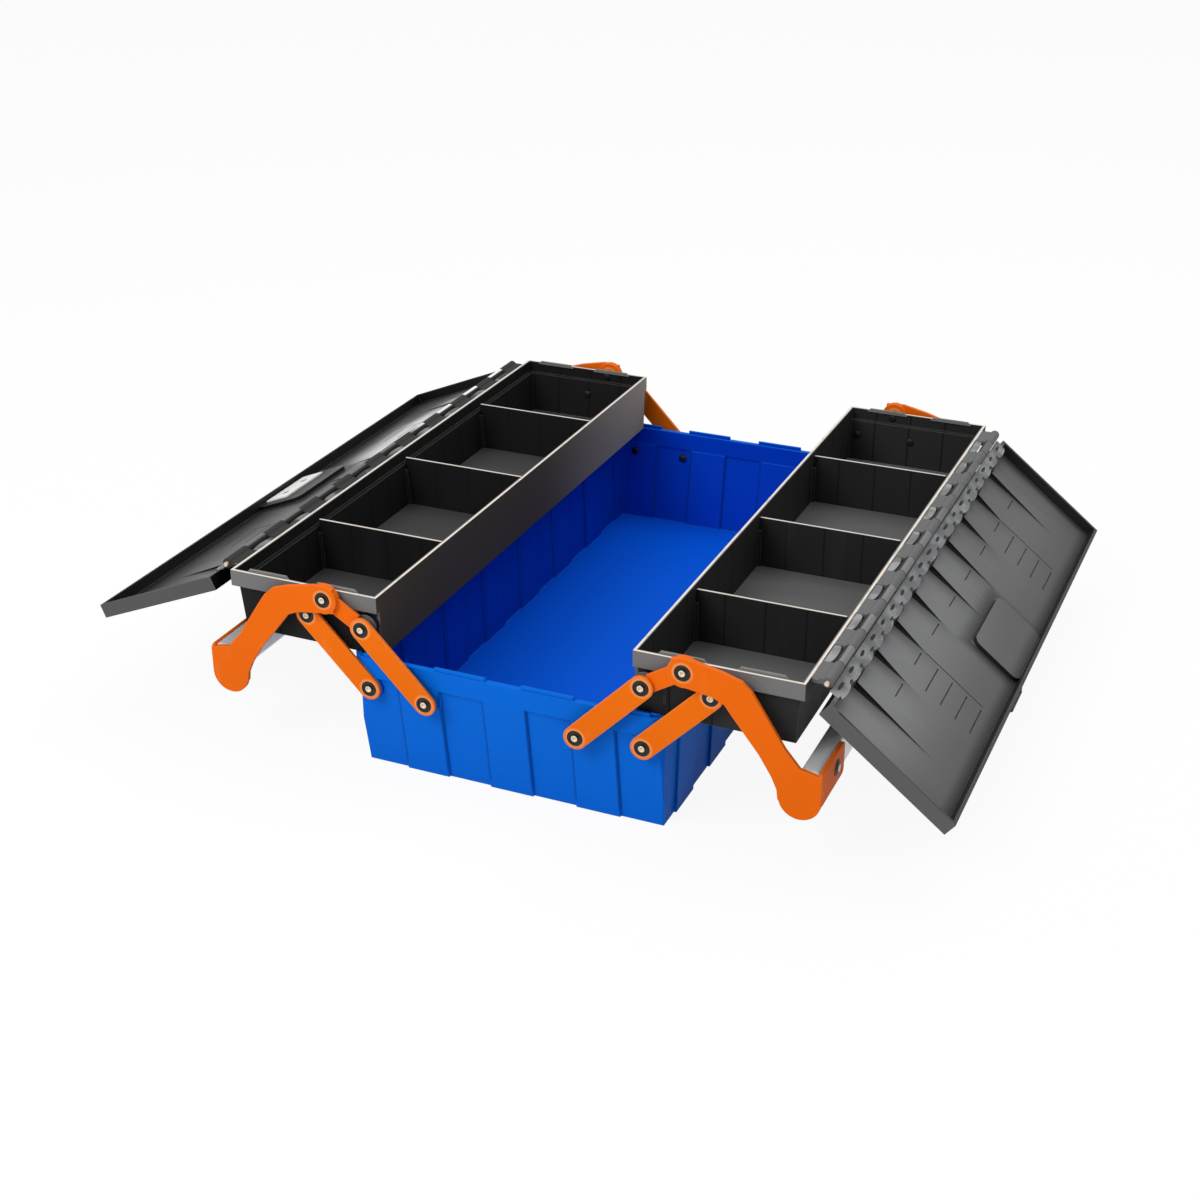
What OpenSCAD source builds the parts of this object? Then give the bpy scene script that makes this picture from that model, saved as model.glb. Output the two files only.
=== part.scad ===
/* [Base tub] */
// Width of the base over its rim
base_w = 206; // [200:1:214]
// Length of the base, the trays and the lids
box_l = 430; // [340:2:520]
// Height of the base
base_h = 78.6; // [70:0.2:100]
// Thickness of the base walls
base_wall = 2.4; // [1.8:0.1:4]
// Thickness of the base floor
base_floor = 6; // [3:0.5:10]
// How far each long wall leans in at the foot
base_lean_side = 2; // [0:0.5:5]
// How far each end wall leans in at the foot
base_lean_end = 9.6; // [2:0.2:14]
// Height of the plain band round the rim
base_band_h = 13.5; // [8:0.5:18]
// Upright corner radius of the base
base_corner_r = 9; // [4:0.5:14]
// Width of one pressed wall panel
panel_w = 28.8; // [20:0.2:40]
// Depth of the pressed wall panels
panel_step = 1.5; // [0.6:0.1:2.5]
// Height of the guide tabs on the end rims
guide_h = 2.4; // [1:0.2:4]
// Length of one guide tab
guide_l = 34; // [16:1:44]
// Thickness of a guide tab
guide_t = 1.6; // [1:0.1:2.4]
// Outer edge of the end rim to a guide tab
guide_edge = 0.4; // [0.2:0.1:1]

/* [Trays] */
// Width of a tray
tray_w = 102.4; // [90:0.2:110]
// Height of a tray
tray_h = 41.2; // [36:0.2:60]
// Thickness of the tray walls
tray_wall = 2.2; // [1.6:0.1:3]
// Thickness of the tray floor
tray_floor = 2.4; // [1.6:0.1:4]
// Height of the band round the tray rim
tray_band_h = 10.5; // [8:0.5:14]
// How far the wall steps in under the band
tray_step = 3.4; // [2:0.2:4]
// How far the tray walls lean in at the foot
tray_lean = 2; // [0:0.2:4]
// Number of compartments in a tray
tray_bays = 4; // [2:1:6]
// Distance between the dividers
divider_pitch = 118.2; // [60:0.2:130]
// Thickness of a divider
divider_t = 2; // [1.4:0.1:3]
// How far a divider stays below the rim
divider_drop = 4; // [3:0.5:12]
// Thickness of the ribs that hold a divider
rib_t = 1.6; // [1:0.1:2.4]
// How far the ribs stand out from the wall
rib_out = 2; // [1:0.1:3]

/* [Links and pivots] */
// Distance between the pivots of a link
link_len = 58.9; // [52:0.1:62]
// Slope of the links when the trays are open
link_slope = 45.8; // [42:0.1:50]
// Width of a link
link_w = 14.8; // [12:0.2:18]
// Thickness of a link
link_t = 2; // [1.5:0.1:3]
// Base side to the outer pivot
pivot_edge = 12.8; // [9:0.2:16]
// Inner tray wall to the inner tray pivot
tray_pivot_edge = 7.7; // [7.4:0.1:12]
// Depth of the base pivots below the rim
pivot_drop = 20.2; // [17:0.2:26]
// Radius of the pivot shanks
shank_r = 2.5; // [1.8:0.1:3.2]
// Radius of the outer rivet heads
head_r = 5.2; // [4:0.1:6]
// Thickness of the outer rivet heads
head_t = 1.6; // [1:0.1:2]
// Radius of the shoulders behind a link or arm
shoulder_r = 4.2; // [3.6:0.1:5]
// Radius of the wall bosses
boss_r = 8; // [6:0.5:9]
// Radius of the bosses round the tray pivots
tray_boss_r = 7; // [5:0.2:7.2]

/* [Handles] */
// Arm pivot to the inner tray pivot, across
arm_pivot_x = 25.2; // [22:0.2:28]
// Arm pivot above the inner tray pivot
arm_pivot_z = 15.4; // [12:0.2:15.4]
// Thickness of an arm
arm_t = 2.5; // [2:0.1:3.5]
// Width of the tail of an arm
tail_w = 11; // [10:0.5:12]
// Height of the lip behind the hook of a tail
hook_lip = 1.2; // [0.4:0.1:2]
// Widening of the hook's mouth toward the arm pivot
hook_room = 1.4; // [1.2:0.1:3]
// Drop of the middle of the bar below the arm pivot
bar_drop = 57.7; // [50:0.1:62]
// Thickness of the bar
bar_t = 11.5; // [8:0.1:12]
// Height of the bar
bar_h = 23; // [16:0.5:26]
// Corner radius of the bar
bar_r = 3.2; // [1:0.1:5]
// Thickness of the arm's turned end
flange_t = 2.2; // [1.6:0.1:3]
// Length of the arm's turned end along the bar
flange_l = 44; // [30:1:54]
// Radius of the rounded lower end of an arm
foot_r = 12.5; // [11:0.5:13]
// Far edge of the arm's turned end to its rivet
flange_edge = 14; // [8:0.5:20]

/* [Lids] */
// How far a closed lid stays short of the inner tray wall
lid_short = 8; // [3:0.5:14]
// Depth of a lid over all
lid_depth = 9.2; // [7:0.1:14]
// Thickness of the lid skin
lid_skin = 2; // [1.4:0.1:3]
// Thickness of the lid's side walls
lid_wall = 2.2; // [1.6:0.1:3]
// Opening angle of the right lid
lid_open_right = 218.2; // [190:0.1:222]
// Opening angle of the left lid
lid_open_left = 202.7; // [190:0.1:222]
// Distance of the hinge pin outside the tray wall
hinge_out = 9.3; // [8:0.1:10.4]
// Drop of the hinge pin below the tray rim
hinge_drop = 2; // [1:0.1:4]
// Radius of the hinge knuckles
knuckle_r = 3.2; // [2.6:0.1:3.6]
// Length of one hinge knuckle
knuckle_l = 21; // [12:0.5:30]
// Number of hinge knuckles on a lid, one less than on a tray
knuckle_n = 9; // [4:1:9]
// Radius of the hinge pin
pin_r = 1.5; // [1:0.1:2]
// Number of louvres pressed into a lid
louvre_n = 9; // [3:2:11]
// Distance between the louvres
louvre_pitch = 42.3; // [25:0.1:46]
// Height of a louvre at its hinge end
louvre_h = 2.6; // [1:0.1:4]
// Width of a louvre at its foot
louvre_w = 22; // [10:1:24]
// Hinge pin to the start of the louvres
louvre_start = 15.5; // [13:0.5:22]
// Length of a short louvre
louvre_short = 26; // [16:1:30]
// Length of a middle louvre
louvre_middle = 46; // [30:1:50]
// Length of the louvres at both ends
louvre_long = 62; // [50:1:70]
// Width of the scored lines
score_w = 0.9; // [0.5:0.1:1.5]
// Depth of the scored lines
score_d = 0.7; // [0.3:0.1:1]
// Distance between the short scored lines
score_pitch = 12; // [8:0.5:14]
// Length of the scored lines
score_l = 30; // [16:1:38]
// Height of the middle plateau inside a lid
plateau_h = 3; // [1:0.5:5]
// Length of the plateau along the free edge
plateau_l = 68; // [44:1:90]
// Width of the plateau
plateau_w = 38; // [24:1:48]

/* [Latch] */
// Width of the latch bracket
latch_w = 38; // [30:1:60]
// Radius of the latch wire
wire_r = 1.5; // [1:0.1:1.8]
// Reach of the latch loop
loop_reach = 27; // [23:0.5:30]
// Width of the latch loop
loop_w = 24; // [18:0.5:26]
// Height of the loop's pivot above the lid
loop_rise = 3.4; // [3:0.1:5]
// How far the loop hangs down from its latched place
loop_hang = 51.8; // [30:0.1:60]
// Length of the keeper's inner plate
plate_l = 50; // [34:1:56]
// Width of the keeper's inner plate
plate_w = 19; // [14:0.5:24]
// Distance between the keeper's rivets
plate_pitch = 24; // [16:1:28]

/* [Clearances] */
// Gap between the trays when they are closed
closed_gap = 2; // [1:0.1:4]
// Gap between a tray and the base rim
seat_gap = 0.3; // [0.2:0.05:0.6]
// Gap between a closed lid and the tray rim
lid_gap = 1; // [0.5:0.1:2]
// Side gap between layers of links and arms
layer_gap = 0.3; // [0.2:0.05:0.5]
// Radial clearance on turning shanks
turn_gap = 0.1; // [0.05:0.01:0.2]
// Gap round a divider
divider_gap = 0.2; // [0.1:0.05:0.5]
// Gap between a handle bar and the base when the trays are closed
bar_gap = 1.2; // [0.6:0.1:4]
// Gap between the hook of a tail and the shoulder that it rests on
hook_gap = 0.3; // [0.2:0.05:0.5]
// End gap between hinge knuckles
knuckle_gap = 0.4; // [0.2:0.05:1]

/* [Hidden] */
$fn = 48;

// Small overlap that joins stacked solids
lap = 0.01;
end_y = box_l / 2;
l1_y0 = end_y + layer_gap;
l1_y1 = l1_y0 + link_t;
l2_y0 = l1_y1 + layer_gap;
l2_y1 = l2_y0 + link_t;
l3_y0 = l2_y1 + layer_gap;
l3_y1 = l3_y0 + max(link_t, arm_t);
travel = 2 * link_len * cos(link_slope);
pivot_z = base_h - pivot_drop;
a0 = [(closed_gap + travel) / 2 + tray_pivot_edge, pivot_z];
b0 = [base_w / 2 - pivot_edge, pivot_z];
swing = [link_len * cos(link_slope), link_len * sin(link_slope)];
a1 = a0 + swing;
b1 = b0 + swing;
c1 = a1 + [arm_pivot_x, arm_pivot_z];
bar_out = base_w / 2 + bar_gap + bar_t + travel - c1[0];
tx0 = closed_gap / 2 + travel;
tx1 = tx0 + tray_w;
tz0 = base_h + seat_gap;
tz1 = tz0 + tray_h;
ty = box_l / 2;
band_z = tz1 - tray_band_h;
hx = tx1 + hinge_out;
hz = tz1 - hinge_drop;
lid_z0 = tz1 + lid_gap;
lid_z1 = lid_z0 + lid_depth;
lid_x0 = tx0 + lid_short;
lid_x1 = tx1 + lid_gap;
ly = box_l / 2;
loop_p = [lid_x0 + 3.4, lid_z1 + loop_rise];
hinge_pitch = (box_l - 2 * knuckle_l) / knuckle_n;
// Free edge of a lid to the keeper's plate, and the radius of the plate's holes
plate_in = 4.5;
plate_hole_r = 2.8;
blue = [0.02, 0.30, 0.78];
orange = [0.95, 0.38, 0.05];
grey = [0.22, 0.23, 0.24];
lid_grey = [0.42, 0.43, 0.44];
metal = [0.82, 0.81, 0.77];
black = [0.05, 0.05, 0.05];

// Draws a flat outline in X and Z as a plate from y0 to y1
module plate(y0, y1) {
  translate([0, y1, 0]) rotate([90, 0, 0]) linear_extrude(y1 - y0) children();
}

// Draws a flat outline in Y and Z as a plate from x0 to x1
module cross(x0, x1) {
  translate([x0, 0, 0]) rotate([90, 0, 90]) linear_extrude(x1 - x0) children();
}

// A box between two corners
module block(p, q) {
  translate(p) cube(q - p);
}

// A round bar along Y
module bar_y(x, z, r, y0, y1) {
  translate([x, y1, z]) rotate([90, 0, 0]) cylinder(r = r, h = y1 - y0);
}

// The same piece at both ends of the box
module both_ends() {
  children();
  mirror([0, 1, 0]) children();
}

// A rectangle with round corners, centred
module round_rect(w, l, r) {
  square([w - 2 * r, l], center = true);
  square([w, l - 2 * r], center = true);
  for (sx = [-1, 1], sy = [-1, 1])
    translate([sx * (w / 2 - r), sy * (l / 2 - r)]) circle(r = r);
}

// A strip with round ends between two pivots
module strip(p, q, w) {
  turn = atan2(q[1] - p[1], q[0] - p[0]);
  steps = 14;
  polygon(concat(
    [for (i = [0:steps]) q + w / 2 * [cos(turn - 90 + 180 * i / steps), sin(turn - 90 + 180 * i / steps)]],
    [for (i = [0:steps]) p + w / 2 * [cos(turn + 90 + 180 * i / steps), sin(turn + 90 + 180 * i / steps)]]));
}

// A body that leans in toward its foot, half sizes at the top
module leaning(hw, hl, lean_w, lean_l, z0, z1, r) {
  intersection() {
    plate(-hl, hl) polygon([[-hw + lean_w, z0], [hw - lean_w, z0], [hw, z1], [-hw, z1]]);
    cross(-hw, hw) polygon([[-hl + lean_l, z0], [hl - lean_l, z0], [hl, z1], [-hl, z1]]);
    translate([0, 0, z0]) linear_extrude(z1 - z0) round_rect(2 * hw, 2 * hl, r);
  }
}

// Slabs that mark the raised wall panels
module panel_slabs(z1) {
  for (i = [-1:1])
    block([i * 2 * panel_w - panel_w / 2, -box_l, 0], [i * 2 * panel_w + panel_w / 2, box_l, z1]);
  n = floor((box_l / 2 - base_lean_end - panel_w / 2) / (2 * panel_w));
  for (i = [-n:n])
    block([-base_w, i * 2 * panel_w - panel_w / 2, 0], [base_w, i * 2 * panel_w + panel_w / 2, z1]);
}

// The base body drawn in by a distance, panels and all
module base_form(inset, z0) {
  hw = base_w / 2 - inset;
  hl = box_l / 2 - inset;
  zb = base_h - base_band_h;
  r = base_corner_r - inset;
  difference() {
    leaning(hw - panel_step, hl - panel_step, base_lean_side, base_lean_end, 0, zb, r);
    block([-base_w, -box_l, -1], [base_w, box_l, z0]);
  }
  intersection() {
    leaning(hw, hl, base_lean_side, base_lean_end, 0, zb, r + panel_step);
    panel_slabs(zb);
    block([-base_w, -box_l, z0], [base_w, box_l, zb]);
  }
}

module base_tub() {
  color(blue) difference() {
    union() {
      base_form(0, 0);
      translate([0, 0, base_h - base_band_h])
        linear_extrude(base_band_h) round_rect(base_w, box_l, base_corner_r);
      both_ends() for (s = [-1, 1], p = [a0, b0])
        bar_y(s * p[0], p[1], boss_r, box_l / 2 - base_lean_end - base_wall, end_y);
    }
    base_form(base_wall, base_floor);
    translate([0, 0, base_h - base_band_h - lap])
      linear_extrude(base_band_h + 1 + lap)
        round_rect(base_w - 2 * base_wall, box_l - 2 * base_wall - 2.4, base_corner_r - base_wall);
    both_ends() for (s = [-1, 1], p = [a0, b0])
      bar_y(s * p[0], p[1], shank_r, box_l / 2 - base_lean_end - 9, end_y + 1);
  }
}

// The low tabs on the end rims that guide the trays as they come in
module rim_tabs() {
  tab_y = box_l / 2 - guide_edge - guide_t;
  color(blue) both_ends() for (x = [-3 * panel_w, -panel_w, panel_w, 3 * panel_w])
    intersection() {
      block([x - guide_l / 2, tab_y, base_h], [x + guide_l / 2, tab_y + guide_t, base_h + guide_h]);
      block([-base_w / 2 + base_corner_r, tab_y, base_h],
        [base_w / 2 - base_corner_r, tab_y + guide_t, base_h + guide_h]);
    }
}

// A pivot rivet: inner head, shank, shoulder and outer head
module pivot_rivet(p, y_in, y_shoulder, y_head, flush_head) {
  bar_y(p[0], p[1], shank_r + 1.3, y_in - 1.4, y_in);
  bar_y(p[0], p[1], shank_r, y_in - 0.7, y_head + 0.5);
  if (y_shoulder > end_y) bar_y(p[0], p[1], shoulder_r, end_y, y_shoulder);
  if (flush_head) bar_y(p[0], p[1], shank_r + 1.7, y_head, y_head + 0.9);
  else dome_head(p, y_head);
}

// A low domed rivet head that faces outward
module dome_head(p, y) {
  translate([p[0], y, p[1]]) rotate([-90, 0, 0]) rotate_extrude() intersection() {
    square([head_r, head_t]);
    translate([0, head_t - head_r * 2.2]) circle(r = head_r * 2.2, $fn = 96);
  }
}

// Depth of the inner face of the base end wall at a height
function base_in_y(z) = box_l / 2 - panel_step - base_wall
  - base_lean_end * (1 - z / (base_h - base_band_h));

// Depth of the inner face of the tray end wall at a height
function tray_in_y(z) = z > band_z ? ty - tray_wall
  : ty - tray_step - tray_wall - tray_lean * (band_z - z) / (band_z - tz0);

module base_rivets() {
  color(metal) both_ends() for (s = [0, 1]) mirror([s, 0, 0]) {
    pivot_rivet(a0, base_in_y(pivot_z - shank_r - 1.3), l2_y1, l3_y1 - layer_gap + 0.5, false);
    pivot_rivet(b0, base_in_y(pivot_z - shank_r - 1.3), 0, l1_y1 - 0.95, true);
  }
}

// Outline of a link with its two holes
module link(p, q, y0, y1, sunk) {
  difference() {
    plate(y0, y1) strip(p, q, link_w);
    for (e = [p, q]) {
      bar_y(e[0], e[1], shank_r + turn_gap, y0 - 1, y1 + 1);
      if (sunk) bar_y(e[0], e[1], shank_r + 1.9, y1 - 1.1, y1 + 1);
    }
  }
}

module outer_links() {
  color(orange) both_ends() link(b0, b1, l1_y0, l1_y1, true);
}

module inner_links() {
  color(orange) both_ends() link(a0, a1, l3_y0, l3_y0 + link_t, false);
}

module outer_links_right() {
  outer_links();
}

module outer_links_left() {
  mirror([1, 0, 0]) outer_links();
}

module inner_links_right() {
  inner_links();
}

module inner_links_left() {
  mirror([1, 0, 0]) inner_links();
}

// The tray body drawn in by a distance, below the band
module tray_lower(inset, z0, z1) {
  h = band_z - tz0;
  k = tray_lean / h;
  xo = tx1 - tray_step - inset;
  yo = ty - tray_step - inset;
  intersection() {
    plate(-ty, ty) polygon([[tx0 + inset, z0], [xo - k * (band_z - z0), z0],
      [xo - k * (band_z - z1), z1], [tx0 + inset, z1]]);
    cross(tx0, tx1) polygon([[-yo + k * (band_z - z0), z0], [yo - k * (band_z - z0), z0],
      [yo - k * (band_z - z1), z1], [-yo + k * (band_z - z1), z1]]);
  }
}

// Places something at every divider
module at_dividers() {
  for (i = [1:tray_bays - 1]) translate([0, (i - tray_bays / 2) * divider_pitch, 0]) children();
}

module tray() {
  k = tray_lean / (band_z - tz0);
  xw = tx1 - tray_step - tray_wall;
  difference() {
    union() {
      tray_lower(0, tz0, band_z + lap);
      block([tx0, -ty, band_z], [tx1, ty, tz1]);
      both_ends() for (p = [a1, b1])
        bar_y(p[0], p[1], tray_boss_r, ty - tray_step - tray_lean - tray_wall, end_y);
      both_ends() block([tx0 + 18, ty - tray_step - tray_lean, tz0 + 9],
        [tx0 + 19.6, ty - tray_step + 0.6, band_z]);
      hinge_knuckles(0);
    }
    difference() {
      union() {
        tray_lower(tray_wall, tz0 + tray_floor, tz1 + 1);
        block([tx0 + tray_wall, -ty + tray_wall, band_z + tray_wall],
          [tx1 - tray_wall, ty - tray_wall, tz1 + 1]);
      }
      at_dividers() for (s = [-1, 1]) translate([0, s * (divider_t / 2 + divider_gap + rib_t / 2), 0]) {
        block([tx0, -rib_t / 2, tz0], [tx0 + tray_wall + rib_out, rib_t / 2, band_z - 2]);
        intersection() {
          block([xw - 3 * rib_out, -rib_t / 2, tz0], [tx1, rib_t / 2, band_z - 2]);
          plate(-rib_t / 2, rib_t / 2) polygon([[xw - rib_out - k * (band_z - tz0), tz0],
            [tx1, tz0], [tx1, band_z], [xw - rib_out, band_z]]);
        }
      }
    }
    both_ends() for (p = [a1, b1, c1])
      bar_y(p[0], p[1], shank_r, ty - tray_step - tray_lean - tray_wall - 3, end_y + 1);
    bar_y(hx, hz, pin_r, -ly, ly);
  }
}

// Knuckles on the tray, side 0, or on the closed lid, side 1
module hinge_knuckles(side) {
  for (i = [0:knuckle_n - side]) {
    y0 = -ly + knuckle_l + i * hinge_pitch + side * hinge_pitch / 2 - knuckle_l / 2;
    len = min(knuckle_l, hinge_pitch / 2 - knuckle_gap);
    bar_y(hx, hz, knuckle_r, y0, y0 + len);
    if (side == 0) block([tx1 - 1, y0, hz - 1.6], [hx, y0 + len, hz + 1.6]);
    if (side == 1) plate(y0, y0 + len)
      polygon([[lid_x1 - 1, lid_z0], [lid_x1 - 1, lid_z0 + 4], [lid_x1 + 2, lid_z0 + 4],
        [hx + knuckle_r * 0.75, hz + knuckle_r * 0.65], [hx, hz], [hx - knuckle_r * 0.6, hz + knuckle_r * 0.8]]);
  }
}

module tray_right() {
  color(grey) tray();
}

module tray_left() {
  color(grey) mirror([1, 0, 0]) tray();
}

module dividers() {
  k = tray_lean / (band_z - tz0);
  xw = tx1 - tray_step - tray_wall - divider_gap;
  z0 = tz0 + tray_floor;
  z1 = tz1 - divider_drop;
  color(grey) at_dividers() plate(-divider_t / 2, divider_t / 2)
    polygon([[tx0 + tray_wall + divider_gap, z0], [xw - k * (band_z - z0), z0],
      [xw - k * (band_z - z1), z1], [tx0 + tray_wall + divider_gap, z1]]);
}

module dividers_right() {
  dividers();
}

module dividers_left() {
  mirror([1, 0, 0]) dividers();
}

module tray_rivets() {
  color(metal) both_ends() {
    pivot_rivet(a1, tray_in_y(a1[1] - shank_r - 1.3), l2_y1, l3_y1 - layer_gap + 0.5, false);
    pivot_rivet(b1, tray_in_y(b1[1] - shank_r - 1.3), 0, l1_y1 - 0.95, true);
    pivot_rivet(c1, min(ty - tray_wall, tray_in_y(c1[1] - shank_r - 1.3)), l1_y1, l3_y1 + 0.2, false);
  }
}

module tray_rivets_right() {
  tray_rivets();
}

module tray_rivets_left() {
  mirror([1, 0, 0]) tray_rivets();
}

// Outline of the arm in front, from its pivot down to its end
module arm_outline() {
  bx = bar_out;
  bz = -bar_drop;
  translate(c1) {
    polygon([[-7, 8], [6, 8.8], [24, 5], [35, 1.6], [41, -3.8], [46, -11],
      [bx - 20.1, bz + 22.5], [bx - 11, bz + 12], [bx + flange_t, bz + 9],
      [bx + flange_t, bz - 8], [bx - 2, bz - 16], [bx - 10.3, bz - 19], [bx - 18.6, bz - 16],
      [bx - 23.2, bz - 10], [bx - 24, bz - 4], [bx - 27.4, bz + 3.5], [bx - 35.1, bz + 15.7],
      [30, -21], [25.3, -14.8], [18, -11.5], [4, -9.4], [-7, -8]]);
    circle(r = 9.3);
    translate([bx + flange_t - foot_r, bz - 8]) circle(r = foot_r);
  }
}

// The tail that hooks under the inner tray pivot
module arm_tail() {
  difference() {
    plate(l2_y0, l2_y1) strip(c1, a1, tail_w);
    bar_y(a1[0], a1[1], shoulder_r + hook_gap, l2_y0 - 1, l2_y1 + 1);
    plate(l2_y0 - 1, l2_y1 + 1) translate(a1) rotate(atan2(arm_pivot_z, arm_pivot_x))
      translate([-tail_w - 1, -shoulder_r + hook_lip])
        square([tail_w + 1 + shoulder_r + hook_gap + hook_room, tail_w]);
  }
}

module arms() {
  color(orange) both_ends() difference() {
    union() {
      plate(l3_y0, l3_y0 + arm_t) arm_outline();
      arm_tail();
      bar_y(c1[0], c1[1], 9.3, l2_y0, l3_y0 + arm_t);
      translate([0, l3_y0 + arm_t - flange_l / 2, c1[1] - bar_drop])
        cross(c1[0] + bar_out, c1[0] + bar_out + flange_t) round_rect(flange_l, bar_h - 2, bar_r);
    }
    bar_y(c1[0], c1[1], shank_r + turn_gap, l2_y0 - 1, l3_y1 + 1);
    rivet_place() cylinder(r = shank_r, h = 40, center = true);
  }
}

// The middle of the rivet that holds the bar, along X
module rivet_place() {
  translate([c1[0] + bar_out, l3_y0 + arm_t - flange_l + flange_edge, c1[1] - bar_drop])
    rotate([0, 90, 0]) children();
}

module arms_right() {
  arms();
}

module arms_left() {
  mirror([1, 0, 0]) arms();
}

module bar() {
  color([0.86, 0.87, 0.88]) difference() {
    plate(-l3_y0 + 0.2, l3_y0 - 0.2)
      translate([c1[0] + bar_out - bar_t / 2, c1[1] - bar_drop]) round_rect(bar_t, bar_h, bar_r);
    both_ends() rivet_place() cylinder(r = shank_r, h = 12, center = true);
  }
}

module bar_right() {
  bar();
}

module bar_left() {
  mirror([1, 0, 0]) bar();
}

module bar_rivets() {
  color(metal) both_ends() rivet_place() {
    translate([0, 0, -6]) cylinder(r = shank_r, h = 6 + flange_t + 0.3);
    translate([0, 0, flange_t]) rotate_extrude() intersection() {
      square([head_r, head_t]);
      translate([0, head_t - head_r * 2.2]) circle(r = head_r * 2.2, $fn = 96);
    }
  }
}

module bar_rivets_right() {
  bar_rivets();
}

module bar_rivets_left() {
  mirror([1, 0, 0]) bar_rivets();
}

module hinge_pin() {
  color(metal) bar_y(hx, hz, pin_r - turn_gap, -ly + knuckle_l / 2 - 2, ly - knuckle_l / 2 + 2);
}

module hinge_pin_right() {
  hinge_pin();
}

module hinge_pin_left() {
  mirror([1, 0, 0]) hinge_pin();
}

// Turns a closed lid's pieces out to the photographed angle
module opened(angle) {
  translate([hx, 0, hz]) rotate([0, angle, 0]) translate([-hx, 0, -hz]) children();
}

// The closed lid: a shallow pan with its skin on top
module lid_pan() {
  difference() {
    union() {
      block([lid_x0, -ly, lid_z0], [lid_x1, ly, lid_z1]);
      hinge_knuckles(1);
    }
    block([lid_x0 + lid_wall, -ly + lid_wall, lid_z0 - 1], [lid_x1 - lid_wall, ly - lid_wall, lid_z1 - lid_skin]);
    bar_y(hx, hz, pin_r, -ly, ly);
    for (i = [0:knuckle_n]) {
      y0 = -ly + knuckle_l + i * hinge_pitch - knuckle_l / 2 - knuckle_gap;
      bar_y(hx, hz, knuckle_r + 0.5, y0, y0 + min(knuckle_l, hinge_pitch / 2 - knuckle_gap) + 2 * knuckle_gap);
    }
  }
}

// One louvre: a sheet pressed up along a cut, highest at its hinge end
module louvre(y, len, zi) {
  xh = hx - louvre_start;
  intersection() {
    plate(y, y + louvre_w) polygon([[xh, zi + lap], [xh, zi - louvre_h], [xh - len, zi], [xh - len, zi + lap]]);
    cross(xh - len, xh) polygon([[y, zi - louvre_h], [y + louvre_w, zi], [y + louvre_w, zi + lap], [y, zi + lap]]);
  }
}

// A line scored across the lid, from the distance v0 to v1 off the hinge pin
module score_across(y, v0, v1, zi) {
  block([hx - v1, y - score_w / 2, zi - 1], [hx - v0, y + score_w / 2, zi + score_d]);
}

// A line scored along the lid, from y toward the front end
module score_along(v, y, zi) {
  block([hx - v - score_w / 2, y - score_l - 4, zi - 1], [hx - v + score_w / 2, y - 4, zi + score_d]);
}

// Length of each louvre, counted from the middle of the lid
function louvre_len(i) = abs(i) == floor(louvre_n / 2) ? louvre_long
  : abs(i) <= 1 && i > -1 ? louvre_middle : louvre_short;

// The pressed inside of a lid
module lid_pressed() {
  zi = lid_z1 - lid_skin;
  m = floor(louvre_n / 2);
  v_mid = louvre_start + louvre_short;
  difference() {
    lid_pan();
    for (i = [-m:m]) if (abs(i) < m || i == m) score_along(v_mid - 2, i * louvre_pitch, zi);
    for (i = [-m + 2, m - 1]) {
      score_across(i * louvre_pitch, v_mid, v_mid + 4 * score_pitch, zi);
      for (j = [1:4]) score_along(v_mid + j * score_pitch, i * louvre_pitch, zi);
    }
  }
  for (i = [-m:m]) louvre(i * louvre_pitch, louvre_len(i), zi);
  translate([lid_x0 + lid_wall - lap + plateau_w / 2, 0, zi - plateau_h])
    linear_extrude(plateau_h + lap) round_rect(plateau_w, plateau_l, 6);
}

module lid_right() {
  color(lid_grey) opened(lid_open_right) lid_pressed();
}

module lid_left() {
  color(grey) mirror([1, 0, 0]) opened(lid_open_left) lid_pressed();
}

module latch_bracket() {
  color(black) opened(lid_open_right) difference() {
    union() {
      block([lid_x0 + 1, -latch_w / 2, lid_z1], [lid_x0 + 20, latch_w / 2, lid_z1 + 1.4]);
      for (s = [-1, 1]) {
        bar_y(loop_p[0], loop_p[1], wire_r + 1.3, s * (latch_w / 2 - 2) - 2, s * (latch_w / 2 - 2) + 2);
        block([loop_p[0] - 1.6, s * (latch_w / 2 - 2) - 2, lid_z1],
          [loop_p[0] + wire_r + 1.3, s * (latch_w / 2 - 2) + 2, loop_p[1]]);
      }
    }
    bar_y(loop_p[0], loop_p[1], wire_r + turn_gap, -latch_w, latch_w);
    for (s = [-1, 1]) translate([lid_x0 + 14, s * 10, lid_z1 - 1]) cylinder(r = 1.6, h = 4);
  }
}

module latch_rivets() {
  color(metal) opened(lid_open_right) for (s = [-1, 1]) translate([lid_x0 + 14, s * 10, lid_z1]) {
    cylinder(r = 1.6, h = 1.8);
    translate([0, 0, 1.4]) cylinder(r = 3, h = 1);
  }
}

// The wire loop, drawn latched and then let down
module latch_loop() {
  color(black) opened(lid_open_right)
    translate([loop_p[0], 0, loop_p[1]]) rotate([0, loop_hang, 0]) {
      for (s = [-1, 1]) {
        bar_y(0, 0, wire_r, s > 0 ? loop_w / 2 - wire_r : -latch_w / 2, s > 0 ? latch_w / 2 : wire_r - loop_w / 2);
        translate([0, s * loop_w / 2, 0]) rotate([0, -90, 0]) cylinder(r = wire_r - lap, h = loop_reach);
      }
      bar_y(-loop_reach, 0, wire_r, -loop_w / 2 - wire_r, loop_w / 2 + wire_r);
    }
}

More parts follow.
